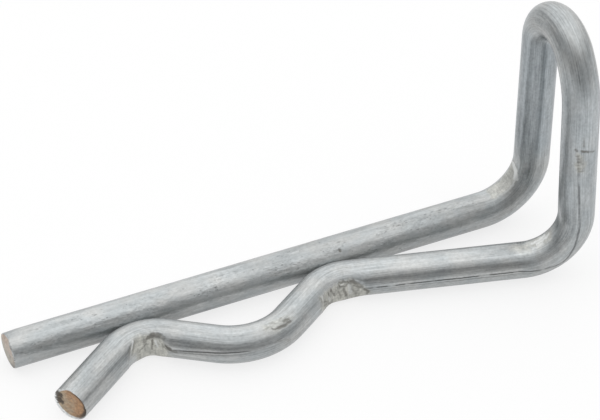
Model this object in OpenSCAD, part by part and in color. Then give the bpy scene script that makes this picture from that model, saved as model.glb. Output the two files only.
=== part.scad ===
// Spring retaining pin, bent from one length of round wire.
// The straight leg passes through a cross hole in a shaft. The wavy leg snaps
// round the outside of the shaft, and the loop between them stands up as a handle.
// Origin: where the shaft's axis crosses the straight leg's axis.
// +X runs along the straight leg to the loop, +Z is the shaft's axis.

/* [Wire] */
// Diameter of the wire
wire_d = 6; // [5:0.1:7]
// How much thinner the wire is drawn where it is bent
bend_thinning = 0.04; // [0.02:0.01:0.12]
// Bevel round each cropped end
end_bevel = 0.3; // [0.1:0.05:0.8]

/* [Shaft] */
// Diameter of the shaft that the pin holds
shaft_d = 22; // [19:0.5:26]
// How far the valley reaches inside the shaft's surface, which makes it grip
grip = 0.3; // [0:0.05:0.6]

/* [Straight leg] */
// Length of the straight leg, from its cropped end to the loop
leg_len = 92; // [86:0.5:110]
// Distance from the shaft's axis to the loop
shaft_to_loop = 55.4; // [48:0.2:64]

/* [Loop] */
// Height of the loop's top above the legs' centre line
loop_h = 42.5; // [38:0.5:60]
// Bend radius between the straight leg and the loop
back_bend_r = 9; // [7:0.25:12]
// Bend radius between the loop and the wavy leg
front_bend_r = 8.5; // [6.5:0.25:11]
// Bend radius over the top of the loop
crown_r = 6; // [5:0.25:8]
// Angle that the tight bend at the top turns through
crown_angle = 145; // [120:1:160]
// Straight length between it and the easier bend that follows
crown_run = 0.6; // [0.4:0.1:3]
// Radius of the easier bend
shoulder_r = 15.5; // [12:0.5:22]
// How far the front of the loop leans out from upright, in degrees
lean = 4; // [1:0.5:8]

/* [Wavy leg] */
// Gap that keeps the two humps from rubbing on the straight leg
leg_gap = 0.1; // [0.1:0.05:0.5]
// Bend radius of the two humps
hump_r = 7.5; // [6:0.25:9]
// Angle between the wavy leg's tip and the straight leg
tip_flare = 36; // [25:1:45]
// Length of the wavy leg's straight tip
tip_len = 13; // [10:0.5:20]

/* [Press marks] */
// Depth of the flats that the formers leave inside the loop's two lower bends
base_press = 0.2; // [0.1:0.05:0.4]
// Depth of the mark inside the hump next to the loop
hump_press = 0.7; // [0.4:0.05:0.9]
// Depth of the mark inside the hump next to the tip
tip_press = 1.2; // [0.9:0.05:1.4]
// Radius of the nose that pressed it
nose_r = 3.5; // [3:0.1:4]

/* [Hidden] */
$fn = 72;

wire_r = wire_d / 2;

// Wavy leg in plan: three arcs about these centres, joined by lines that touch them
hump_step = shaft_d / 2 + wire_d;
hump_y = -(wire_d + leg_gap) - hump_r;
valley_r = shaft_d / 2;
valley_y = grip - wire_r;
arcs_apart = norm([hump_step, valley_y - hump_y]);
flank_slope = asin((hump_r + valley_r) / arcs_apart) - atan2(valley_y - hump_y, hump_step);
flank_len = sqrt(pow(arcs_apart, 2) - pow(hump_r + valley_r, 2));

// Loop, seen along X: up the back, over the crown and shoulder, down the leaning front
back_len = loop_h - wire_r - crown_r - back_bend_r;
shoulder_angle = 180 - lean - crown_angle;
shoulder_end = [
    crown_r * (cos(crown_angle) - 1) - crown_run * sin(crown_angle)
        - shoulder_r * (cos(lean) + cos(crown_angle)),
    loop_h - wire_r - crown_r + crown_r * sin(crown_angle) + crown_run * cos(crown_angle)
        + shoulder_r * (sin(lean) - sin(crown_angle))
];
front_len = shoulder_end[1] / cos(lean);
front_y = shoulder_end[0] - front_len * sin(lean);

// Run from the foot of the loop's front to the first hump
foot_to_hump = [shaft_to_loop - hump_step, hump_y - front_y];
run_slope = atan2(foot_to_hump[1], foot_to_hump[0]) + asin(hump_r / norm(foot_to_hump));
run_len = sqrt(pow(norm(foot_to_hump), 2) - pow(hump_r, 2));

// Headings of the wire where its bends change plane, and the axes they turn about
leg_heading = [1, 0, 0];
up_heading = [0, 0, 1];
front_heading = [0, -sin(lean), -cos(lean)];
run_heading = [-cos(run_slope), sin(run_slope), 0];
front_bend = acos(front_heading * run_heading);
front_trim = front_bend_r * tan(front_bend / 2);
base_axis = [0, -1, 0];
loop_axis = [1, 0, 0];
foot_axis = cross(front_heading, run_heading) / sin(front_bend);
plan_axis = [0, 0, 1];

// Bending program, one row for each bend in the order they are made: straight run
// before it, roll of the wire before it, bend radius, bend angle, depth of the
// former's mark, former radius. The last run has no bend after it.
RUN = 0;
ROLL = 1;
RADIUS = 2;
ANGLE = 3;
PRESS = 4;
FORMER = 5;
program = [
    [leg_len - back_bend_r, 0, back_bend_r, 90, base_press, former(back_bend_r, base_press)],
    [back_len, roll(base_axis, loop_axis, up_heading), crown_r, crown_angle, 0, 0],
    [crown_run, 0, shoulder_r, shoulder_angle, 0, 0],
    [front_len - front_trim, roll(loop_axis, foot_axis, front_heading),
        front_bend_r, front_bend, base_press, former(front_bend_r, base_press)],
    [run_len - front_trim, roll(foot_axis, plan_axis, run_heading),
        hump_r, run_slope + flank_slope, hump_press, former(hump_r, hump_press)],
    [flank_len, 180, valley_r, 2 * flank_slope, 0, 0],
    [flank_len, 180, hump_r, flank_slope + tip_flare, tip_press, nose_r],
    [tip_len]
];

// Angle to roll the wire so that its bend axis goes from one direction to another
function roll(from_axis, to_axis, heading) =
    atan2(cross(from_axis, to_axis) * heading, from_axis * to_axis);

// Radius of a former that shares the bend's own axis
function former(bend_r, depth) = bend_r - wire_r + depth;

// Straight wire along +Z, with what follows it at its far end
module run(length) {
    cylinder(h = length, d = wire_d);
    translate([0, 0, length]) children();
}

// Bend from +Z towards +X, with what follows it at its far end. It is a whole ring
// kept between the planes of its two ends, where it meets the runs face to face.
module bend(radius, angle) {
    block = 4 * (radius + wire_d);
    intersection() {
        translate([radius, 0, 0]) rotate([90, 0, 0])
            rotate_extrude() translate([radius, 0]) circle(d = wire_d - bend_thinning);
        translate([radius, 0, block / 2]) cube(block, center = true);
        past_bend(radius, angle) translate([radius, 0, -block / 2]) cube(block, center = true);
    }
    past_bend(radius, angle) children();
}

module past_bend(radius, angle) {
    translate([radius, 0, 0]) rotate([0, angle, 0]) translate([-radius, 0, 0]) children();
}

// Wire from one row of the program to the end
module wire_from(row) {
    step = program[row];
    run(step[RUN])
        if (row < len(program) - 1)
            rotate([0, 0, step[ROLL]]) bend(step[RADIUS], step[ANGLE]) wire_from(row + 1);
}

// What is taken off the wire: a former's mark inside each bend that has one, square
// to the bend's plane, and the bevel round the last cropped end
module cuts_from(row) {
    step = program[row];
    translate([0, 0, step[RUN]])
        if (row < len(program) - 1)
            rotate([0, 0, step[ROLL]]) {
                if (step[PRESS] > 0) former_at(step);
                past_bend(step[RADIUS], step[ANGLE]) cuts_from(row + 1);
            }
        else mirror([0, 0, 1]) bevel_cut();
}

module former_at(step) {
    reach = step[RADIUS] - wire_r + step[PRESS] - step[FORMER];
    translate([step[RADIUS], 0, 0]) rotate([0, step[ANGLE] / 2, 0]) translate([-reach, 0, 0])
        rotate([90, 0, 0]) cylinder(h = 2 * wire_d, r = step[FORMER], center = true);
}

// Ring that bevels the wire's edge where it starts at the origin and runs along +Z
module bevel_cut() {
    difference() {
        translate([0, 0, -end_bevel]) cylinder(h = 2 * end_bevel, r = wire_r + end_bevel);
        translate([0, 0, -end_bevel])
            cylinder(h = 2 * end_bevel, r1 = wire_r - 2 * end_bevel, r2 = wire_r);
    }
}

// Place of the straight leg's cropped end, with +Z along the leg
module at_leg_end() {
    translate([shaft_to_loop - leg_len, 0, 0]) rotate([180, -90, 0]) children();
}

module spring_pin() {
    color("lightsteelblue") difference() {
        at_leg_end() wire_from(0);
        at_leg_end() cuts_from(0);
        at_leg_end() bevel_cut();
    }
}

spring_pin();
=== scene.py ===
from math import atan2, pi, radians

import bpy
from mathutils import Matrix, Vector, noise


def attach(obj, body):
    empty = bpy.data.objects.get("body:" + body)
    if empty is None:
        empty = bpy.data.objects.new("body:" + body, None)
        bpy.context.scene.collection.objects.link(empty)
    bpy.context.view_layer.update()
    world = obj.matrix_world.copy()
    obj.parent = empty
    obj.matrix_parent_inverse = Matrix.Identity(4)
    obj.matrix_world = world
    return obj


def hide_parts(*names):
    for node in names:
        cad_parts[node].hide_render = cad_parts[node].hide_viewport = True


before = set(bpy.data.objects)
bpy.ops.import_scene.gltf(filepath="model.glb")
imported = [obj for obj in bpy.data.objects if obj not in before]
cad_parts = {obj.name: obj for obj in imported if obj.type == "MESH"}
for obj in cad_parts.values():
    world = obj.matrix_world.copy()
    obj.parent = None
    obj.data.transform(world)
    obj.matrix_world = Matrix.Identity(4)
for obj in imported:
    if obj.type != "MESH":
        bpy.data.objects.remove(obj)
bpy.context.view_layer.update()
print("frame loaded")

mm = 0.001


def deselectAll():
    bpy.ops.object.select_all(action="DESELECT")


def selectOnly(thing):
    deselectAll()
    thing.select_set(True)
    bpy.context.view_layer.objects.active = thing


# the wire, bent from one end to the other
wire = {
    "diameter": 6.0,
    "sides": 112,
    "start": (-36.6, 0, 0),   # the cropped end of the straight leg
    "heading": (1, 0, 0),
    "fineStep": 0.17,         # ring spacing where the wire is marked
    "plainStep": 2.5,         # and on the other runs
    # stretches along the wire that carry marks of the tools, from its straight end
    "marked": ((55.8, 56.6), (82.0, 98.5), (150.4, 157.0), (165.0, 182.5), (204.0, 219.0), (223.0, 229.5),
               (241.5, 255.5)),
    "bendStep": 2.5,          # degrees from ring to ring in a bend without marks
    "edgeRound": 0.3,         # rounding of a cropped end
    # the rings of that rounding: share of its depth, narrowing, and share of the lean
    "edgeRings": ((0.3, 0.992, 0.05), (0.3, 0.975, 0.15), (0.2, 0.95, 0.3), (0.12, 0.93, 0.3),
                  (0.08, 0.92, 0.2)),
    "capRings": 5,
    "capStep": 0.4,           # from ring to ring on the flat face
    "legEndTilt": 3.5,        # the cropped face of the straight leg leans, in degrees
    "squareAt": 2.0,          # from here on the rings are square to the wire
    "tipLean": (0.18, -0.24, 0.3),   # how the burr of the other end is drawn over, in mm
    # the formers: sides, length, how far from its middle one touches, and how far past it the skin is softened
    "formerSides": 360, "formerLength": 12.0, "formerReach": 9.0, "formerFade": 0.25,
    "shadeAngle": 35.0,       # edges sharper than this, in degrees, stay sharp
    # straight run, then the bend after it: its axis, radius and angle, how deep the
    # former is pressed in, the former's radius, and how often its edge is softened
    "route": [
        {"straight": 83.0, "axis": (0, -1, 0), "radius": 9.0, "angle": 90.0,
         "press": 0.2, "former": 6.2, "soften": 3},
        {"straight": 24.5, "axis": (1, 0, 0), "radius": 6.0, "angle": 145.0},
        {"straight": 0.6, "axis": (1, 0, 0), "radius": 15.5, "angle": 31.0},
        {"straight": 20.0573, "axis": (0.255824, 0.964368, -0.0674352), "radius": 8.5, "angle": 91.0249,
         "press": 0.2, "former": 5.7, "soften": 12},
        {"straight": 29.0852, "axis": (0, 0, 1), "radius": 7.5, "angle": 48.5524,
         "press": 0.7, "former": 5.2, "soften": 22},
        {"straight": 8.09691, "axis": (0, 0, -1), "radius": 11.0, "angle": 67.3907},
        {"straight": 8.09691, "axis": (0, 0, 1), "radius": 7.5, "angle": 69.6954,
         "press": 1.2, "former": 3.5, "soften": 10},
        {"straight": 13.0},
    ],
}
wireRadius = wire["diameter"] / 2 * mm
edgeRound = wire["edgeRound"] * mm
squareAt = wire["squareAt"] * mm


# every run and bend of the route with its place, in metres, as the wire goes
def planRoute():
    place, heading, side = Vector(wire["start"]) * mm, Vector(wire["heading"]), Vector((0, 0, 1))
    along, plan = 0.0, []
    for row in wire["route"]:
        length = row["straight"] * mm
        plan.append({"kind": "run", "start": place.copy(), "heading": heading.copy(), "side": side.copy(),
                     "length": length, "along": along})
        place, along = place + heading * length, along + length
        if "radius" not in row:
            break
        axis, radius, angle = Vector(row["axis"]).normalized(), row["radius"] * mm, radians(row["angle"])
        toCentre = axis.cross(heading).normalized()
        plan.append({"kind": "bend", "start": place.copy(), "heading": heading.copy(), "side": side.copy(),
                     "length": radius * angle, "along": along, "axis": axis, "radius": radius, "angle": angle,
                     "toCentre": toCentre, "centre": place + toCentre * radius, "row": row})
        turn = Matrix.Rotation(angle, 3, axis)
        place = place + toCentre * radius - turn @ (toCentre * radius)
        heading, side, along = turn @ heading, turn @ side, along + radius * angle
    plan.append({"kind": "end", "start": place.copy(), "heading": heading.copy(), "along": along})
    return plan


route = planRoute()
wireEnd = route.pop()


# whether a place along the wire, in metres, lies in a marked stretch
def isMarked(along):
    return any(start < along / mm < end for start, end in wire["marked"])


# extrude the open ring along its heading, in fine steps where the run is marked
def pushRun(run, first, last):
    places = [first, last]
    for start, end in wire["marked"]:
        places += [min(max(edge * mm, first), last) for edge in (start, end)]
    places.sort()
    for low, high in zip(places, places[1:]):
        if high - low < 0.01 * mm:
            continue
        step = wire["fineStep" if isMarked((low + high) / 2) else "plainStep"]
        steps = max(1, round((high - low) / mm / step))
        bpy.ops.mesh.extrude_repeat(steps=steps, offset=run["heading"] * (high - low) / steps)


def spinBend(bend):
    steps = max(2, round(bend["row"]["angle"] / wire["bendStep"]))
    if isMarked(bend["along"] + bend["length"] / 2):
        steps = round(bend["length"] / mm / wire["fineStep"])
    bpy.ops.mesh.spin(steps=steps, dupli=False, angle=-bend["angle"], use_auto_merge=False,
                      center=bend["centre"], axis=bend["axis"])


# close the open ring that is selected: narrowing rings round the edge, then the face
def cropEnd(outward, centre, lean):
    place = centre - outward * edgeRound
    for forward, width, drawn in wire["edgeRings"]:
        step = outward * forward * edgeRound + lean * drawn
        bpy.ops.mesh.extrude_region_move(TRANSFORM_OT_translate={"value": step})
        place = place + step
        bpy.ops.transform.resize(value=(width, width, width), center_override=place)
    bpy.ops.mesh.edge_face_add()
    for ring in range(wire["capRings"]):
        bpy.ops.mesh.inset(thickness=wire["capStep"] * mm, depth=0.0)


deselectAll()
legStart, legHeading = Vector(wire["start"]) * mm, Vector(wire["heading"])
# the shear leaned: the first ring is turned about its lower near edge
legTilt = Matrix.Rotation(radians(wire["legEndTilt"]), 3, (0, -1, 1))
lower = legStart + Vector((0, -1, -1)).normalized() * wireRadius
bpy.ops.mesh.primitive_circle_add(vertices=wire["sides"], radius=wireRadius, fill_type="NOTHING",
                                  location=lower + legTilt @ (legStart + legHeading * edgeRound - lower),
                                  rotation=(legTilt @ Matrix.Rotation(pi / 2, 3, "Y")).to_euler())
pin = bpy.context.object
pin.name = "springPinWire"
bpy.ops.object.transform_apply(location=True, rotation=True, scale=True)
bpy.ops.object.mode_set(mode="EDIT")
bpy.ops.mesh.select_mode(type="EDGE")
bpy.ops.mesh.select_all(action="SELECT")
bpy.ops.mesh.extrude_region_move(TRANSFORM_OT_translate={"value": legHeading * squareAt})
bpy.ops.transform.resize(value=(0, 1, 1), center_override=legStart + legHeading * squareAt)
for part in route:
    if part["kind"] == "bend":
        spinBend(part)
    else:
        first, last = part["along"], part["along"] + part["length"]
        pushRun(part, squareAt if part is route[0] else first, last - (edgeRound if part is route[-1] else 0))
cropEnd(wireEnd["heading"], wireEnd["start"], Vector(wire["tipLean"]) * mm)
bpy.ops.mesh.select_all(action="DESELECT")
bpy.ops.mesh.select_non_manifold()   # the open ring that is left
cropEnd(legTilt @ -legHeading, lower + legTilt @ (legStart - lower), Vector((0, 0, 0)))
bpy.ops.mesh.select_all(action="SELECT")
bpy.ops.mesh.normals_make_consistent(inside=False)
bpy.ops.object.mode_set(mode="OBJECT")
print("wire bent,", len(pin.data.vertices), "points, length mm", round(wireEnd["along"] / mm, 1))


# press each former into the inside of its bend
def pressFormer(bend):
    row, axis = bend["row"], bend["axis"]
    reach = bend["radius"] - wireRadius + (row["press"] - row["former"]) * mm
    middle = Matrix.Rotation(bend["angle"] / 2, 3, axis) @ -bend["toCentre"]
    place = bend["centre"] + middle * reach
    deselectAll()
    bpy.ops.mesh.primitive_cylinder_add(vertices=wire["formerSides"], radius=row["former"] * mm,
                                        depth=wire["formerLength"] * mm, location=place,
                                        rotation=axis.to_track_quat("Z", "Y").to_euler())
    former = bpy.context.object

    def within(radius):
        offs = [(vertex.index, vertex.co - place) for vertex in pin.data.vertices]
        return [index for index, off in offs
                if off.length < wire["formerReach"] * mm and off.cross(axis).length < radius * mm]

    touched, faded = within(row["former"]), within(row["former"] + wire["formerFade"])
    group = pin.vertex_groups.new(name="touched")
    group.add(touched, 1, "REPLACE")
    selectOnly(pin)
    press = pin.modifiers.new("press", "SHRINKWRAP")
    press.target, press.wrap_method, press.wrap_mode = former, "NEAREST_SURFACEPOINT", "OUTSIDE"
    press.vertex_group = group.name
    bpy.ops.object.modifier_apply(modifier=press.name)
    group.add(faded, 1, "REPLACE")
    smooth = pin.modifiers.new("soften", "SMOOTH")
    smooth.factor, smooth.iterations, smooth.vertex_group = 0.5, row["soften"], group.name
    bpy.ops.object.modifier_apply(modifier=smooth.name)
    pin.vertex_groups.clear()
    bpy.data.objects.remove(former)


for part in route:
    if part["kind"] == "bend" and "press" in part["row"]:
        pressFormer(part)
print("formers pressed in")


# where a point of the pin lay in the straight wire: along it, and across it
def beforeBending(point):
    best = None
    for part in route:
        off = point - part["start"]
        if off.length > part["length"] + 2 * wireRadius:
            continue
        if part["kind"] == "run":
            share = off.dot(part["heading"])
            if part is not route[0]:   # only the two ends of the wire reach past their run
                share = max(share, 0)
            if part is not route[-1]:
                share = min(share, part["length"])
            across, side, heading = off - part["heading"] * share, part["side"], part["heading"]
        else:
            out = point - part["centre"]
            turned = atan2(out.dot(part["heading"]), -out.dot(part["toCentre"]))
            turned = min(max(turned, 0), part["angle"])
            turn = Matrix.Rotation(turned, 3, part["axis"])
            across = out + turn @ (part["toCentre"] * part["radius"])
            side, heading, share = turn @ part["side"], turn @ part["heading"], part["radius"] * turned
        if best is None or across.length < best[0]:
            best = (across.length, part["along"] + share, across.dot(side), across.dot(heading.cross(side)))
    return best[1:]


straight = [Vector(beforeBending(vertex.co)) for vertex in pin.data.vertices]
layout = pin.data.attributes.new("straightWire", "FLOAT_VECTOR", "POINT")
for entry, spot in zip(layout.data, straight):
    entry.vector = spot
# the same as millimetres along the wire and round its skin, 0 on the side axis
unrolled = [(spot.x / mm, wireRadius / mm * atan2(spot.z, spot.y)) for spot in straight]
print("layout written")


# places on the skin are given as millimetres along the wire and degrees round it
def onSkin(place):
    return place[0], radians(place[1]) * wireRadius / mm


def soften(value, low, high):
    share = min(max((value - low) / (high - low), 0), 1)
    return share * share * (3 - 2 * share)


# places where the skin is pushed out, or in: how far along and round, and how high, in mm
swellings = [
    {"at": (209.9, -122), "along": 4.2, "round": 2.4, "height": 0.34},
    {"at": (247.0, -122), "along": 2.6, "round": 1.7, "height": -0.28},
    {"at": (0.0, -14), "along": 2.7, "round": 2.6, "height": -0.6},   # upper corner of the straight leg's end
]
coreFade = (1.4, 2.7)   # nothing moves nearer the wire's axis than the first, in mm
for swelling in swellings:
    middle = onSkin(swelling["at"])
    group = pin.vertex_groups.new(name="swelling")
    for index, spot in enumerate(unrolled):
        offAlong = (spot[0] - middle[0]) / swelling["along"]
        offRound = (spot[1] - middle[1]) / swelling["round"]
        off = (offAlong ** 2 + offRound ** 2) ** 0.5
        if off < 1:
            outer = Vector(straight[index][1:]).length / mm
            group.add([index], soften(off, 1, 0) * soften(outer, *coreFade), "REPLACE")
    selectOnly(pin)
    push = pin.modifiers.new("push", "DISPLACE")
    push.strength, push.mid_level, push.vertex_group = swelling["height"] * mm, 0, group.name
    bpy.ops.object.modifier_apply(modifier=push.name)
    pin.vertex_groups.clear()
print("skin swellings pushed")

# marks of the tools and of use on the skin, in millimetres along and degrees round
marks = {
    # how the lines wander: scale, size in mm and seed
    "outlineWander": (0.9, 0.5, 3.0), "strokeWander": (1.7, 0.22, 5.0),
    # points further along the wire than this, in mm, lie off an outline, off a stroke and off a marked stretch
    "outlineReach": 16, "strokeReach": 4, "markedReach": 1,
    "strokeSoft": 0.14, "scrapeSoft": 0.16,
    # scuffed patches: corners of each outline, and how soft its edge is
    "scuffs": [
        {"soft": 0.6, "strength": 0.8,
         "outline": ((217.3, -42), (217.6, -60), (217.2, -107), (216.6, -138), (205.6, -140), (205.2, -100),
                     (205.6, -80), (206.6, -58), (207.9, -44), (210.4, -38), (211.8, -44), (213.6, -48),
                     (215.6, -40))},
        {"soft": 0.8, "strength": 0.8,
         "outline": ((251.8, -48), (251.6, -70), (250.6, -100), (249.6, -134), (243.6, -136), (242.8, -100),
                     (243.2, -62), (244.4, -34), (246.6, -22), (248.6, -18), (250.4, -26))},
        # pressed flat inside the bend at the back, and the one at the front
        {"soft": 0.3, "strength": 0.55,
         "outline": ((84.6, 24), (88.5, 31), (90.5, 35), (93.2, 27), (94.8, 12), (95.4, -22), (90.0, -30),
                     (85.0, -22))},
        {"soft": 0.6, "strength": 0.5,
         "outline": ((171.0, 20), (174.0, 36), (177.6, 30), (178.2, 8), (176.0, -12), (172.0, -10))},
        {"soft": 0.8, "strength": 0.5,
         "outline": ((177.4, 26), (180.8, 24), (181.6, 8), (180.8, -10), (178.0, -14))},
        # under the clamp line, and on top of the dip
        {"soft": 0.4, "strength": 0.5,
         "outline": ((152.1, -50), (152.3, -74), (154.0, -84), (155.9, -76), (155.8, -56), (154.0, -50))},
        {"soft": 0.7, "strength": 0.5,
         "outline": ((223.6, -26), (224.6, -2), (226.6, 14), (228.6, 4), (228.4, -18), (226.6, -28))},
    ],
    # dark strokes: from, to, half width in mm, strength
    "strokes": [
        # first hump: left edge, cracks, ring and the mark at its right end
        ((216.9, -46), (217.3, -70), 0.1, 0.4), ((216.3, -66), (215.4, -84), 0.14, 0.55),
        ((216.2, -88), (214.9, -108), 0.14, 0.55), ((215.4, -84), (215.0, -96), 0.12, 0.5),
        ((213.6, -52), (212.9, -72), 0.22, 0.65), ((212.9, -72), (212.2, -96), 0.2, 0.6),
        ((214.6, -54), (214.0, -78), 0.16, 0.55), ((211.2, -44), (209.9, -43), 0.14, 0.65),
        ((209.9, -43), (208.7, -51), 0.16, 0.7), ((208.7, -51), (209.4, -64), 0.12, 0.6),
        ((209.4, -64), (210.8, -62), 0.14, 0.7), ((210.8, -62), (211.3, -50), 0.12, 0.55),
        ((208.1, -45), (207.4, -56), 0.3, 0.7), ((207.0, -59), (206.5, -68), 0.24, 0.45),
        ((207.7, -66), (206.9, -74), 0.24, 0.55), ((209.9, -76), (209.4, -106), 0.28, 0.55),
        ((211.2, -80), (210.8, -108), 0.18, 0.5), ((206.0, -78), (205.5, -90), 0.24, 0.75),
        ((205.5, -90), (205.6, -102), 0.14, 0.55), ((207.9, -84), (207.4, -112), 0.14, 0.3),
        ((214.8, -100), (213.6, -118), 0.12, 0.45),
        # second hump: left edge, arc, dark spot and ribs
        ((252.0, -42), (252.9, -66), 0.16, 0.75), ((252.9, -66), (253.6, -84), 0.16, 0.8),
        ((253.6, -84), (253.9, -104), 0.14, 0.7), ((250.6, -34), (251.0, -62), 0.26, 0.5),
        ((251.0, -62), (251.4, -84), 0.2, 0.45), ((248.1, -48), (247.3, -35), 0.3, 0.5),
        ((247.3, -35), (246.1, -28), 0.36, 0.8), ((246.1, -28), (244.9, -31), 0.36, 0.7),
        ((244.9, -31), (243.9, -38), 0.3, 0.45), ((246.4, -44), (246.5, -72), 0.18, 0.8),
        ((246.5, -72), (246.6, -98), 0.14, 0.7), ((247.7, -58), (248.2, -76), 0.13, 0.6),
        ((248.2, -76), (249.4, -98), 0.14, 0.6), ((243.3, -64), (242.7, -72), 0.3, 0.9),
        ((242.6, -73), (241.8, -77), 0.2, 0.6), ((244.3, -60), (243.9, -72), 0.14, 0.4),
        ((249.6, -72), (249.9, -96), 0.14, 0.3), ((245.9, -104), (247.0, -122), 0.1, 0.35),
        ((248.8, -40), (248.9, -60), 0.12, 0.3),
        # clamp mark high on the front upright
        ((151.6, -68), (151.9, -88), 0.16, 0.85), ((151.9, -88), (152.2, -108), 0.13, 0.65),
        ((151.3, -50), (151.5, -54), 0.12, 0.7), ((150.5, -74), (150.7, -76), 0.1, 0.6),
        ((152.6, -52), (152.5, -60), 0.07, 0.5), ((153.2, -52), (153.1, -62), 0.07, 0.45),
        ((153.8, -54), (153.7, -66), 0.07, 0.5), ((154.4, -53), (154.3, -64), 0.07, 0.45),
        ((155.0, -56), (154.9, -68), 0.08, 0.5), ((155.6, -60), (155.5, -74), 0.08, 0.5),
        ((152.9, -66), (154.1, -70), 0.07, 0.35),
        # dip, straight leg and back bend
        ((227.5, -17), (226.8, -21), 0.15, 0.75), ((226.8, -21), (225.9, -25), 0.18, 0.8),
        ((225.9, -25), (224.5, -24), 0.15, 0.75), ((227.4, 8), (226.6, -4), 0.1, 0.4),
        ((225.8, -4), (225.2, 2), 0.12, 0.45), ((225.3, -12), (224.4, -16), 0.17, 0.75),
        ((228.8, -9), (227.9, -6), 0.12, 0.3), ((227.8, -55), (226.5, -62), 0.12, 0.3),
        ((226.5, -62), (225.6, -78), 0.1, 0.3), ((56.2, 40), (56.2, 43), 0.22, 0.85),
        ((95.6, -20), (95.2, 10), 0.14, 0.25), ((95.2, 10), (93.6, 28), 0.14, 0.35),
        ((93.6, 28), (90.6, 37), 0.16, 0.35), ((90.6, 37), (86.6, 32), 0.14, 0.2),
    ],
    # bright strokes of bare metal, partly painted glints: from, to, half width in mm, strength
    "scrapesAndGlints": [
        ((250.9, -30), (251.6, -52), 0.18, 0.95), ((245.8, -50), (245.3, -82), 0.2, 0.6),
        ((245.2, -48), (244.8, -62), 0.14, 0.4), ((216.6, -44), (217.0, -96), 0.14, 0.5),
        ((208.6, -62), (208.3, -100), 0.34, 0.35), ((214.2, -86), (213.8, -104), 0.2, 0.35),
        ((209.9, -49), (210.6, -56), 0.12, 0.5), ((172.4, 16), (176.8, 6), 0.26, 0.6),
        ((173.6, 26), (177.2, 18), 0.24, 0.6), ((174.6, -2), (177.4, -6), 0.2, 0.4),
        ((94.9, -14), (94.3, 8), 0.52, 0.62), ((94.3, 8), (92.7, 25), 0.52, 0.62),
        ((92.9, 25), (90.2, 31), 0.2, 0.45), ((90.2, 31), (86.4, 25), 0.2, 0.25),
        ((151.1, -60), (151.4, -90), 0.08, 0.14), ((146.0, -52), (150.4, -53), 0.12, 0.3),
    ],
}
# painted highlights and painted shade on the skin, with some of the coat's own tone: from and to along, from
# and to round, how soft that is in degrees, and how much lighter
paintedLightAndTones = [
    # back upright, back bend and the middle of the crown: painted shade in bands round the wire; a painted
    # highlight high on the crown
    (96, 126, -10, 10, 12, -0.17), (96, 126, 44, 64, 14, -0.2), (96, 126, 98, 150, 10, -0.13),
    (97, 108, 0, 34, 14, -0.16), (86, 98, 42, 92, 14, -0.14), (89, 96.4, 38, 52, 10, -0.12),
    (126, 138, -40, 40, 30, -0.16), (132.6, 136.4, -84, -64, 12, 0.1), (137, 146, -74, -40, 10, -0.1),
    (126, 150, -180, 180, 1, -0.04),
    # front upright, front bend and sloping run: painted highlights on the upright, the front bend and the
    # crest of the run, painted shade lower on the upright and at the bend
    (141.5, 150.9, -124, -62, 8, 0.1), (141, 160, -44, 0, 10, -0.11), (158, 166, -28, -8, 8, -0.14),
    (163, 173, -52, -22, 12, -0.22), (181, 206, -20, 6, 10, 0.17), (177.5, 181, -16, 26, 10, 0.35),
    # humps, dip and tip: a painted highlight on the crest of the dip and painted shade below it, lighter and
    # darker parts of the humps, and the tip a little darker
    (222, 243, -75, -38, 8, -0.17), (224, 241, 0, 22, 8, 0.16), (219, 231, -95, -60, 12, -0.06),
    (206.2, 209.2, -58, -40, 8, -0.1), (206, 217, -140, -48, 6, -0.07), (243, 252, -136, -44, 6, 0.16),
    (254.5, 265, -180, 180, 1, -0.07),
    # straight leg: a painted highlight on the crest, its dark middle band lighter, and painted shade along the
    # underside
    (0, 38, -20, 26, 14, 0.08), (40, 82, -40, 10, 16, -0.05), (34, 80, 34, 60, 14, 0.08),
    (2, 40, 90, 139, 9, -0.16), (60, 84, 92, 139, 9, -0.13),
]
paintedLightFade = (5, 6)   # lengthwise each entry fades over the first in mm, or its length by the second if less


# how far a point is from a stroke, in millimetres
def fromStroke(spot, start, end):
    runX, runY = end[0] - start[0], end[1] - start[1]
    share = ((spot[0] - start[0]) * runX + (spot[1] - start[1]) * runY) / (runX * runX + runY * runY)
    share = min(max(share, 0), 1)
    return ((spot[0] - start[0] - share * runX) ** 2 + (spot[1] - start[1] - share * runY) ** 2) ** 0.5


# how deep a point lies inside an outline, in millimetres, and less than 0 outside it
def insideOutline(spot, outline):
    inside, nearest = False, 1e9
    for start, end in zip(outline, outline[1:] + outline[:1]):
        nearest = min(nearest, fromStroke(spot, start, end))
        if (start[1] > spot[1]) != (end[1] > spot[1]):
            crossing = start[0] + (spot[1] - start[1]) / (end[1] - start[1]) * (end[0] - start[0])
            inside = inside != (spot[0] < crossing)
    return nearest if inside else -nearest


# a place moved a little by smooth noise, so that a straight stroke wavers
def wander(spot, scale, size, seed):
    place = Vector((spot[0] * scale, spot[1] * scale, seed))
    return spot[0] + size * noise.noise(place), spot[1] + size * noise.noise(place + Vector((0, 0, 9.7)))


# the strongest of the strokes that reach a point
def strongest(spot, strokes, soft):
    found = 0
    for start, end, half, strength in strokes:
        if abs(spot[0] - start[0]) < marks["strokeReach"]:
            found = max(found, strength * soften(fromStroke(spot, start, end), half + soft, half - soft / 2))
    return found


# strokes with their ends in millimetres on the skin
def laidOut(strokes):
    return [(onSkin(start), onSkin(end), half, strength) for start, end, half, strength in strokes]


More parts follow.
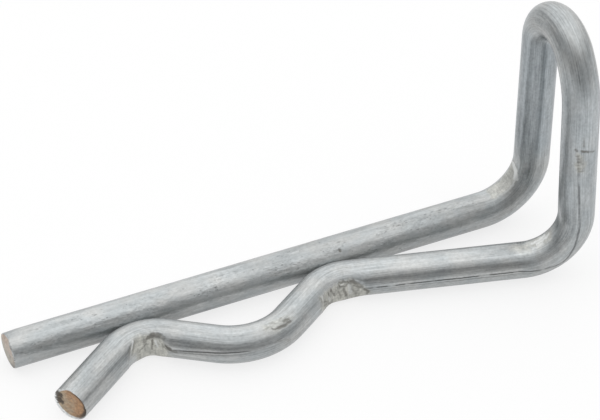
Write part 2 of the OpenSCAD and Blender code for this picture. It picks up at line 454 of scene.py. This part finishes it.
wearAndGlints = pin.data.attributes.new("wearAndGlints", "FLOAT_VECTOR", "POINT")   # scuff, dirt, and bare metal with painted glints
outlines = [[onSkin(corner) for corner in scuff["outline"]] for scuff in marks["scuffs"]]
strokes, scrapesAndGlints = laidOut(marks["strokes"]), laidOut(marks["scrapesAndGlints"])
reach = marks["markedReach"]
for entry, spot in zip(wearAndGlints.data, unrolled):
    if not any(start - reach < spot[0] < end + reach for start, end in wire["marked"]):
        continue
    moved, finer = wander(spot, *marks["outlineWander"]), wander(spot, *marks["strokeWander"])
    scuffed = 0
    for scuff, outline in zip(marks["scuffs"], outlines):
        if abs(spot[0] - outline[0][0]) < marks["outlineReach"]:
            share = soften(insideOutline(moved, outline), -scuff["soft"], scuff["soft"])
            scuffed = max(scuffed, scuff["strength"] * share)
    entry.vector = (scuffed, strongest(finer, strokes, marks["strokeSoft"]),
                    strongest(finer, scrapesAndGlints, marks["scrapeSoft"]))
# the painted highlights and painted shade, with some tone, summed for each point
paintedLightAndTone = pin.data.attributes.new("paintedLightAndTone", "FLOAT", "POINT")
for entry, spot in zip(paintedLightAndTone.data, unrolled):
    turn = spot[1] / wireRadius * mm * 180 / pi
    for start, end, first, last, soft, change in paintedLightAndTones:
        fade = min(paintedLightFade[0], (end - start) / paintedLightFade[1])
        if start - fade < spot[0] < end + fade:
            share = soften(spot[0], start - fade, start + fade) * soften(spot[0], end + fade, end - fade)
            share *= soften(turn, first - soft, first) * soften(turn, last + soft, last)
            entry.value += change * share
print("tool marks laid on")

selectOnly(pin)
bpy.ops.object.shade_smooth_by_angle(angle=radians(wire["shadeAngle"]))

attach(pin, "root")
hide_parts("spring_pin")


# small helpers for the materials
def newMaterial(name):
    material = bpy.data.materials.new(name)
    material.use_nodes = True
    tree = material.node_tree
    return material, tree, tree.nodes["Principled BSDF"]


def addNode(tree, kind, **values):
    node = tree.nodes.new(kind)
    for name, value in values.items():
        setattr(node, name, value)
    return node


# feed one socket: with a number, a colour or another node's output
def feed(tree, socket, value):
    if isinstance(value, bpy.types.NodeSocket):
        tree.links.new(value, socket)
    else:
        socket.default_value = value


def calc(tree, operation, first, second=0.0, third=0.0):
    node = addNode(tree, "ShaderNodeMath", operation=operation)
    for socket, value in zip(node.inputs, (first, second, third)):
        feed(tree, socket, value)
    return node.outputs[0]


def vectorCalc(tree, operation, first, second, output="Vector"):
    node = addNode(tree, "ShaderNodeVectorMath", operation=operation)
    feed(tree, node.inputs[0], first)
    feed(tree, node.inputs[1], second)
    return node.outputs[output]


def attribute(tree, name, output="Vector"):
    return addNode(tree, "ShaderNodeAttribute", attribute_name=name).outputs[output]


def split(tree, vector):
    node = addNode(tree, "ShaderNodeSeparateXYZ")
    feed(tree, node.inputs[0], vector)
    return node.outputs


# a value with the share named for each part of it added on
def summed(tree, total, values, shares):
    for name, share in shares.items():
        total = calc(tree, "MULTIPLY_ADD", values[name], share, total)
    return total


# a value changed by a share of itself where the mask is 1
def vary(tree, value, mask, change):
    return calc(tree, "MULTIPLY", value, calc(tree, "MULTIPLY_ADD", mask, change, 1.0))


# 0 at the value low, 1 at the value high, smooth between
def ease(tree, value, low, high):
    node = addNode(tree, "ShaderNodeMapRange", interpolation_type="SMOOTHSTEP")
    for name, number in (("Value", value), ("From Min", low), ("From Max", high)):
        feed(tree, node.inputs[name], number)
    return node.outputs["Result"]


# 1 where the value is within half a width of the centre, and softly 0 further off
def band(tree, value, centre, half, soft):
    off = calc(tree, "ABSOLUTE", calc(tree, "SUBTRACT", value, centre))
    return ease(tree, off, half + soft, half)


# noise on the straight wire, by its scale along and across it, from about -0.5 to 0.5
def grain(tree, place, alongScale, acrossScale, detail, seed):
    stretch = addNode(tree, "ShaderNodeMapping", vector_type="POINT")
    feed(tree, stretch.inputs["Vector"], place)
    feed(tree, stretch.inputs["Scale"], (alongScale, acrossScale, acrossScale))
    feed(tree, stretch.inputs["Location"], (seed, seed, seed))
    cloud = addNode(tree, "ShaderNodeTexNoise")
    feed(tree, cloud.inputs["Vector"], stretch.outputs[0])
    feed(tree, cloud.inputs["Scale"], 1.0)
    feed(tree, cloud.inputs["Detail"], detail)
    return calc(tree, "SUBTRACT", cloud.outputs["Fac"], 0.5)


# one colour over another, by a share
def tint(tree, share, under, over):
    node = addNode(tree, "ShaderNodeMix", data_type="RGBA")
    feed(tree, node.inputs[0], share)
    feed(tree, node.inputs[6], under)
    feed(tree, node.inputs[7], over)
    return node.outputs[2]


def lit(tree, colour, level):
    node = addNode(tree, "ShaderNodeVectorMath", operation="SCALE")
    feed(tree, node.inputs[0], colour[:3] if isinstance(colour, tuple) else colour)
    feed(tree, node.inputs["Scale"], level)
    return node.outputs[0]


# a value read off a line of corners, such as degrees round the wire by millimetres along it
def follow(tree, value, corners):
    lowX, highX = corners[0][0], corners[-1][0]
    lowY, highY = min(corner[1] for corner in corners), max(corner[1] for corner in corners)
    curve = addNode(tree, "ShaderNodeFloatCurve")
    line = curve.mapping.curves[0]
    spots = [((x - lowX) / (highX - lowX), (y - lowY) / (highY - lowY)) for x, y in corners]
    line.points[0].location, line.points[1].location = spots[0], spots[-1]
    for spot in spots[1:-1]:
        line.points.new(*spot)
    for point in line.points:
        point.handle_type = "VECTOR"
    curve.mapping.update()
    share = addNode(tree, "ShaderNodeMapRange")
    for name, number in (("Value", value), ("From Min", lowX), ("From Max", highX)):
        feed(tree, share.inputs[name], number)
    feed(tree, curve.inputs["Value"], share.outputs["Result"])
    return calc(tree, "MULTIPLY_ADD", curve.outputs[0], highY - lowY, lowY)


zinc = {
    "cool": (0.418, 0.442, 0.449, 1), "warm": (0.442, 0.45, 0.445, 1), "blue": (0.388, 0.428, 0.456, 1),
    # the bare colour is near white, partly for painted glints
    "scuff": (0.5, 0.495, 0.45, 1), "dirt": (0.14, 0.135, 0.12, 1), "bareAndGlints": (0.82, 0.84, 0.84, 1),
    "warmth": 0.18,                         # the mottle that is fully warm
    # bluer stretches: middle, half length and softness in mm, and share
    "bluer": ((154.0, 9.0, 9.0, 0.45), (112.0, 9.0, 8.0, 0.7)),
    "metallic": 0.85, "scuffMetallic": -0.45,
    "roughness": 0.34, "streakRoughness": 0.25, "scuffRoughness": 0.15,
    "bump": 0.05,                           # mm
    # layers of noise: scale along and across the straight wire, detail and seed
    "layers": {
        "streak": (0.04, 2.0, 3, 0), "lines": (0.16, 6.5, 2, 21), "mottle": (0.22, 0.4, 3, 7),
        "lumps": (0.7, 1.3, 3, 13), "speckle": (2.2, 3.2, 2, 3), "flecks": (1.7, 3.6, 3, 29),
        "clusters": (0.16, 0.5, 2, 37), "frostingAndSheen": (1.3, 2.6, 3, 41), "clouds": (0.12, 1.0, 3, 19),
        "ribs": (1.3, 0.4, 2, 31), "pitPatches": (0.35, 0.7, 2, 17), "dieWobble": (0.35, 0.0, 1, 11),
        "dieGaps": (0.5, 0.2, 2, 5),
    },
    # how much lighter each makes the skin, and a scuffed patch, and how high it stands on the skin
    "lighter": {"streak": 0.5, "lines": 0.75, "mottle": 0.25, "clouds": 0.6, "lumps": 0.36, "speckle": 0.5,
                "flecks": -0.36, "frostingAndSheen": 0.8, "paintedLightAndTone": 1.0},
    "scuffLighter": {"speckle": 0.9, "lumps": 1.0, "paintedLightAndTone": 1.0, "ribs": 1.7},
    "higher": {"lines": 0.3, "streak": 0.35, "lumps": 1.0, "speckle": 0.3, "frostingAndSheen": 1.2, "ribs": 3.0,
               "scratch": -0.5, "pit": -0.5, "dirt": -1.2},
    # the straight leg has the lumpier coat, the bent part more lines from the die; from the first
    # place along the wire to the second, one gives way to the other
    "leg": (86.0, 76.0), "legLines": -0.6, "legLumps": -0.3, "bentRise": 0.8, "legRise": 1.3,
    # flecks of the coat, in clusters in a band below the crest of the straight leg, where the highlight's
    # lower edge falls, so the lighter frosting there is partly painted sheen: the noise where each starts and
    # is full, and the middle, half width and softness of the clusters in degrees
    "flecks": (0.03, 0.2), "clusters": (-0.1, 0.16), "clusterBand": (34.0, 26.0, 26.0),
    # small dark pits in the coat, most of them on the straight leg
    "pitScale": 1.5, "pitEdge": (0.26, 0.06), "pitPatches": (0.02, 0.12), "pitLeg": (86.0, 80.0),
    "pitsElsewhere": 0.4, "pitLighter": -0.35,
}
# the dark line that the drawing die left along the wire, with a fainter line beside it, and beside it also a
# thin painted highlight and a broad band of painted shade
dieLine = {
    # millimetres along, degrees round
    "course": ((150, -56), (155.7, -61), (164.3, -70), (168.4, -74), (171.3, -88), (173.8, -102), (176.4, -85),
               (180.4, -75), (200, -75), (205.6, -76), (219, -62), (233.1, -60), (243.2, -74), (246, -76)),
    "wobble": 3.0,
    # where it shows: middle, half length and softness in mm
    "shown": ((179.2, 26.6, 0.6), (238.6, 6.4, 2.0)), "gaps": (-0.2, 0.02),
    # past here, in mm, it is narrower and darker, and the faint line, the painted highlight and the painted
    # shade lie beside it
    "sharp": (176.0, 182.0), "narrower": -0.9, "darker": 0.4,
    "half": 2.0, "edge": 1.4, "lighter": -0.5,
    # the faint line, the painted highlight and the painted shade: degrees off, half width and softness
    "faint": (-9.0, 1.2, 2.0), "paintedShine": (7.0, 1.2, 2.5), "paintedShade": (22.0, 9.0, 8.0),
    # how much of the faint line is added, how much lighter the painted highlight and the painted shade make
    # the skin, and where the painted shade fades away, in mm
    "faintShare": 0.6, "paintedShineLighter": 0.1, "paintedShadeLighter": -0.3,
    "paintedShadeEnd": (214.0, 226.0), "paintedShadeLoss": -0.85,
}


def makeZincWire():
    material, tree, shader = newMaterial("galvanisedWire")
    place = vectorCalc(tree, "MULTIPLY", attribute(tree, "straightWire"), (1 / mm, 1 / mm, 1 / mm))
    along, sideA, sideB = split(tree, place)
    turn = calc(tree, "MULTIPLY", calc(tree, "ARCTAN2", sideB, sideA), 180 / pi)
    scuffed, dirt, bareAndGlints = split(tree, attribute(tree, "wearAndGlints"))
    layer = {name: grain(tree, place, *values) for name, values in zinc["layers"].items()}
    # painted highlights and painted shade from the table, with some tone
    layer["paintedLightAndTone"] = attribute(tree, "paintedLightAndTone", "Fac")
    layer["dirt"] = dirt

    # what each layer shows on the leg and off it
    onLeg = ease(tree, along, *zinc["leg"])
    for name in ("streak", "lines"):
        layer[name] = vary(tree, layer[name], onLeg, zinc["legLines"])
    # flecks and frosting only in the band below the crest where the highlight's edge falls: partly painted
    # sheen
    clusters = ease(tree, layer["clusters"], *zinc["clusters"])
    for mask in (band(tree, turn, *zinc["clusterBand"]), onLeg):
        clusters = calc(tree, "MULTIPLY", clusters, mask)
    layer["flecks"] = ease(tree, layer["flecks"], *zinc["flecks"])
    for name, mask in (("flecks", clusters), ("frostingAndSheen", clusters), ("clouds", onLeg), ("ribs", scuffed)):
        layer[name] = calc(tree, "MULTIPLY", layer[name], mask)

    # drawn zinc: long streaks and fine lines, cloudy patches and grain
    coat = {name: vary(tree, layer[name], onLeg, zinc["legLumps"]) for name in ("lumps", "speckle")}
    level = summed(tree, 1.0, {**layer, **coat}, zinc["lighter"])

    pits = addNode(tree, "ShaderNodeTexVoronoi", feature="F1")
    feed(tree, pits.inputs["Vector"], place)
    feed(tree, pits.inputs["Scale"], zinc["pitScale"])
    pit = ease(tree, pits.outputs["Distance"], *zinc["pitEdge"])
    pitLeg = ease(tree, along, *zinc["pitLeg"])
    for mask in (ease(tree, layer["pitPatches"], *zinc["pitPatches"]),
                 calc(tree, "MULTIPLY_ADD", pitLeg, 1 - zinc["pitsElsewhere"], zinc["pitsElsewhere"])):
        pit = calc(tree, "MULTIPLY", pit, mask)

    dieTurn = follow(tree, along, dieLine["course"])
    dieTurn = calc(tree, "MULTIPLY_ADD", layer["dieWobble"], dieLine["wobble"], dieTurn)
    off = calc(tree, "SUBTRACT", turn, dieTurn)
    shown = calc(tree, "MAXIMUM", *[band(tree, along, *stretch) for stretch in dieLine["shown"]])
    sharp = ease(tree, along, *dieLine["sharp"])
    wide = calc(tree, "MULTIPLY_ADD", sharp, dieLine["narrower"], dieLine["half"])
    scratch = band(tree, calc(tree, "DIVIDE", off, wide), 0.0, 1.0, dieLine["edge"])
    for mask in (shown, ease(tree, layer["dieGaps"], *dieLine["gaps"])):
        scratch = calc(tree, "MULTIPLY", scratch, mask)
    scratch = vary(tree, scratch, sharp, dieLine["darker"])
    shown = calc(tree, "MULTIPLY", shown, sharp)
    # beside it: a faint dark line, a thin painted highlight, and a broad band of painted shade below the
    # crest, fading out towards the dip
    faint, paintedShine, paintedShade = [calc(tree, "MULTIPLY", band(tree, off, *dieLine[name]), shown)
                           for name in ("faint", "paintedShine", "paintedShade")]
    scratch = calc(tree, "MULTIPLY_ADD", faint, dieLine["faintShare"], scratch)
    paintedShade = vary(tree, paintedShade, ease(tree, along, *dieLine["paintedShadeEnd"]), dieLine["paintedShadeLoss"])
    for mask, change in ((pit, zinc["pitLighter"]), (scratch, dieLine["lighter"]),
                         (paintedShine, dieLine["paintedShineLighter"]), (paintedShade, dieLine["paintedShadeLighter"])):
        level = vary(tree, level, mask, change)

    warmth = ease(tree, layer["mottle"], -zinc["warmth"], zinc["warmth"])
    colour = tint(tree, warmth, zinc["cool"], zinc["warm"])
    bluer = 0.0
    for *stretch, share in zinc["bluer"]:
        bluer = calc(tree, "MULTIPLY_ADD", band(tree, along, *stretch), share, bluer)
    colour = lit(tree, tint(tree, bluer, colour, zinc["blue"]), level)

    # scuffed patches, dirt in the marks, and bare scrapes that are partly painted glints
    scuff = lit(tree, zinc["scuff"], summed(tree, 1.0, layer, zinc["scuffLighter"]))
    for mask, over in ((scuffed, scuff), (dirt, zinc["dirt"]), (bareAndGlints, zinc["bareAndGlints"])):
        colour = tint(tree, mask, colour, over)
    feed(tree, shader.inputs["Base Color"], colour)
    metallic = calc(tree, "MULTIPLY_ADD", scuffed, zinc["scuffMetallic"], zinc["metallic"])
    feed(tree, shader.inputs["Metallic"], metallic)
    rough = calc(tree, "MULTIPLY_ADD", layer["streak"], zinc["streakRoughness"], zinc["roughness"])
    rough = calc(tree, "MULTIPLY_ADD", scuffed, zinc["scuffRoughness"], rough)
    feed(tree, shader.inputs["Roughness"], rough)

    lumpRise = calc(tree, "MULTIPLY_ADD", onLeg, zinc["legRise"], zinc["bentRise"])
    coat = {name: calc(tree, "MULTIPLY", layer[name], lumpRise) for name in ("lumps", "speckle")}
    height = summed(tree, 0.0, {**layer, **coat, "scratch": scratch, "pit": pit}, zinc["higher"])
    bump = addNode(tree, "ShaderNodeBump")
    feed(tree, bump.inputs["Strength"], 1.0)
    feed(tree, bump.inputs["Distance"], zinc["bump"] * mm)
    feed(tree, bump.inputs["Height"], height)
    feed(tree, shader.inputs["Normal"], bump.outputs[0])
    return material


# sheared faces: the straight leg's is pale, the other is browned, with zinc drawn over its edge;
# places on a face are millimetres on the straight wire's side and cross axes
cutFaces = {
    "legEnd": {
        "face": (0.4, 0.372, 0.32, 1), "patch": (0.47, 0.39, 0.33, 1), "dark": (0.24, 0.22, 0.2, 1),
        # the disc's middle and radius, the stains' middles and sizes, and the way to the side that is painted
        # in shade
        "disc": ((0.0, 0.0), 2.72), "stains": (((-0.4, 0.9), 0.3),), "dim": (-1.0, 0.0),
        "contrast": 1.2, "rim": 0.5, "metallic": 0.5, "roughness": 0.45,
    },
    "tip": {
        "face": (0.4, 0.235, 0.125, 1), "patch": (0.4, 0.315, 0.22, 1), "dark": (0.06, 0.044, 0.03, 1),
        "disc": ((0.5, -0.3), 2.66), "stains": (((1.0, 2.2), 0.75), ((-0.15, 1.85), 0.75)),
        "dim": (0.35, -0.94),
        # the tip's silvery rim is lit near white, partly a painted highlight
        "contrast": 1.4, "rim": 0.95, "metallic": 0.3, "roughness": 0.5,
    },
}
# the same on both faces, with lengths in mm
sheared = {
    "rough": (1.0, 2.2, 3, 4), "cloud": (1.0, 0.7, 2, 8),   # layers of noise, as for the zinc
    "edgeWander": 0.5, "edgeSoft": 0.08,
    # the dark rim: inset, half width, softness, and where across the face its painted shade begins and is full
    "ringInset": 0.1, "ringHalf": 0.14, "ringSoft": 0.45, "ringSide": (-0.6, 2.0),
    "stainWander": 1.2, "stainSoft": 0.25, "stainShare": 0.93,
    "patchWander": 5.0, "patchSide": (1.2, -1.6),
    "rimContrast": 1.6, "rimMetallic": 0.4,
    "bump": 0.06, "cloudRise": 2.0,
    # the faces it lies on: how far they look the way of the end, and reach from it in wire radii
    "facing": 0.6, "reach": 1.1,
}


def makeCutFace(name):
    look = cutFaces[name]
    material, tree, shader = newMaterial("sheared_" + name)
    place = vectorCalc(tree, "MULTIPLY", attribute(tree, "straightWire"), (0, 1 / mm, 1 / mm))
    rough, cloud = grain(tree, place, *sheared["rough"]), grain(tree, place, *sheared["cloud"])

    def distance(centre):
        return vectorCalc(tree, "DISTANCE", place, (0, *centre), "Value")

    # the steel disc within the zinc
    centre, radius = look["disc"]
    edge = calc(tree, "MULTIPLY_ADD", cloud, sheared["edgeWander"], distance(centre))
    steel = ease(tree, edge, radius + sheared["edgeSoft"], radius - sheared["edgeSoft"])
    # the dark rim of the disc lies on the dim side as painted shade, and the face's paler patches keep away
    # from that side, partly painted shading
    across = vectorCalc(tree, "DOT_PRODUCT", place, (0, *look["dim"]), "Value")
    beside = calc(tree, "SUBTRACT", across, centre[0] * look["dim"][0] + centre[1] * look["dim"][1])
    ring = band(tree, edge, radius - sheared["ringInset"], sheared["ringHalf"], sheared["ringSoft"])
    stainsAndShade = calc(tree, "MULTIPLY", ring, ease(tree, beside, *sheared["ringSide"]))
    for stainAt, size in look["stains"]:
        stain = calc(tree, "MULTIPLY_ADD", rough, sheared["stainWander"], distance(stainAt))
        stain = ease(tree, stain, size + sheared["stainSoft"], size - sheared["stainSoft"])
        stainsAndShade = calc(tree, "MAXIMUM", stainsAndShade, calc(tree, "MULTIPLY", stain, sheared["stainShare"]))
    # paler patches, fewer towards the dim side: partly painted shading
    mixed = calc(tree, "MULTIPLY_ADD", cloud, sheared["patchWander"], beside)
    colour = tint(tree, ease(tree, mixed, *sheared["patchSide"]), look["face"], look["patch"])
    colour = lit(tree, colour, calc(tree, "MULTIPLY_ADD", rough, look["contrast"], 1.0))
    # the zinc drawn over the edge, round the disc; on the tip it is near white, partly a painted highlight
    rim = lit(tree, zinc["bareAndGlints"], calc(tree, "MULTIPLY_ADD", rough, sheared["rimContrast"], look["rim"]))
    colour = tint(tree, steel, rim, colour)
    colour = tint(tree, stainsAndShade, colour, look["dark"])
    feed(tree, shader.inputs["Base Color"], colour)
    more = look["metallic"] - sheared["rimMetallic"]
    feed(tree, shader.inputs["Metallic"], calc(tree, "MULTIPLY_ADD", steel, more, sheared["rimMetallic"]))
    feed(tree, shader.inputs["Roughness"], look["roughness"])
    bump = addNode(tree, "ShaderNodeBump")
    feed(tree, bump.inputs["Distance"], sheared["bump"] * mm)
    feed(tree, bump.inputs["Height"], calc(tree, "MULTIPLY_ADD", cloud, sheared["cloudRise"], rough))
    feed(tree, shader.inputs["Normal"], bump.outputs[0])
    return material


pin.data.materials.clear()
for material in (makeZincWire(), makeCutFace("legEnd"), makeCutFace("tip")):
    pin.data.materials.append(material)
for face in pin.data.polygons:
    for slot, end, outward in ((1, legStart, -legHeading), (2, wireEnd["start"], wireEnd["heading"])):
        near = (face.center - end).length < wireRadius * sheared["reach"]
        if near and face.normal.dot(outward) > sheared["facing"]:
            face.material_index = slot
print("materials made")

# floor, light and camera
studio = {
    "floorSize": 3.0,
    "floorGap": 0.01,   # mm
    "floorColor": (0.92, 0.92, 0.92, 1), "floorRoughness": 0.9,
    # share of plain white that the floor shows beside its lit colour: to the camera, and in reflections
    "floorSeen": 0.76, "floorMirrored": 0.62,
    "skyAxis": (0.171, 0.386, 0.906),
    # sky level by the cosine of the angle to that axis
    "sky": ((-1, 0.35), (-0.42, 0.38), (-0.1, 0.44), (0.24, 0.56), (0.42, 0.8), (0.56, 1.06), (0.81, 1.4),
            (1, 1.38)),
    "skyStrength": 1.4,
}
deselectAll()
bpy.ops.mesh.primitive_plane_add(size=studio["floorSize"],
                                 location=(0, 0, -wireRadius - studio["floorGap"] * mm))
floor = bpy.context.object
floor.name = "studioFloor"
floorMaterial, floorTree, floorShader = newMaterial("paleFloor")
for name, value in (("Base Color", studio["floorColor"]), ("Roughness", studio["floorRoughness"]),
                    ("Specular IOR Level", 0.0)):
    feed(floorTree, floorShader.inputs[name], value)
path = addNode(floorTree, "ShaderNodeLightPath")
mirrored = calc(floorTree, "MAXIMUM", path.outputs["Is Glossy Ray"], path.outputs["Is Transmission Ray"])
mirrored = calc(floorTree, "MULTIPLY", mirrored, studio["floorMirrored"])
seen = calc(floorTree, "MULTIPLY", path.outputs["Is Camera Ray"], studio["floorSeen"])
glow = addNode(floorTree, "ShaderNodeEmission")
blend = addNode(floorTree, "ShaderNodeMixShader")
feed(floorTree, blend.inputs[0], calc(floorTree, "MAXIMUM", seen, mirrored))
feed(floorTree, blend.inputs[1], floorShader.outputs[0])
feed(floorTree, blend.inputs[2], glow.outputs[0])
feed(floorTree, floorTree.nodes["Material Output"].inputs[0], blend.outputs[0])
floor.data.materials.append(floorMaterial)

world = bpy.data.worlds.new("softRoom")
bpy.context.scene.world = world
world.use_nodes = True
worldTree = world.node_tree
background = worldTree.nodes["Background"]
direction = addNode(worldTree, "ShaderNodeTexCoord").outputs["Generated"]
toAxis = vectorCalc(worldTree, "DOT_PRODUCT", direction, studio["skyAxis"], "Value")
asShare = addNode(worldTree, "ShaderNodeMapRange")
ramp = addNode(worldTree, "ShaderNodeValToRGB")
stops = ramp.color_ramp.elements
for index, (cosine, level) in enumerate(studio["sky"]):
    stop = stops[index] if index < 2 else stops.new((cosine + 1) / 2)
    stop.position = (cosine + 1) / 2
    stop.color = (level / studio["skyStrength"],) * 3 + (1,)
feed(worldTree, asShare.inputs["Value"], toAxis)
feed(worldTree, asShare.inputs["From Min"], -1)
feed(worldTree, ramp.inputs[0], asShare.outputs["Result"])
feed(worldTree, background.inputs["Color"], ramp.outputs["Color"])
feed(worldTree, background.inputs["Strength"], studio["skyStrength"])

view = {
    "place": (-110.62, -279.70, 276.98),
    "azimuth": -23.916, "elevation": 40.936,
    "lens": 151.96, "sensor": 36,
}
cameraData = bpy.data.cameras.new("camera")
camera = bpy.data.objects.new("camera", cameraData)
bpy.context.collection.objects.link(camera)
cameraData.sensor_fit, cameraData.sensor_width = "HORIZONTAL", view["sensor"]
cameraData.lens = view["lens"]
cameraData.clip_start, cameraData.clip_end = 0.01, 20
camera.location = Vector(view["place"]) * mm
camera.rotation_euler = (radians(90 - view["elevation"]), 0, radians(view["azimuth"]))
bpy.context.scene.camera = camera
bpy.context.scene.view_settings.view_transform = "Standard"
print("floor, light and camera placed")
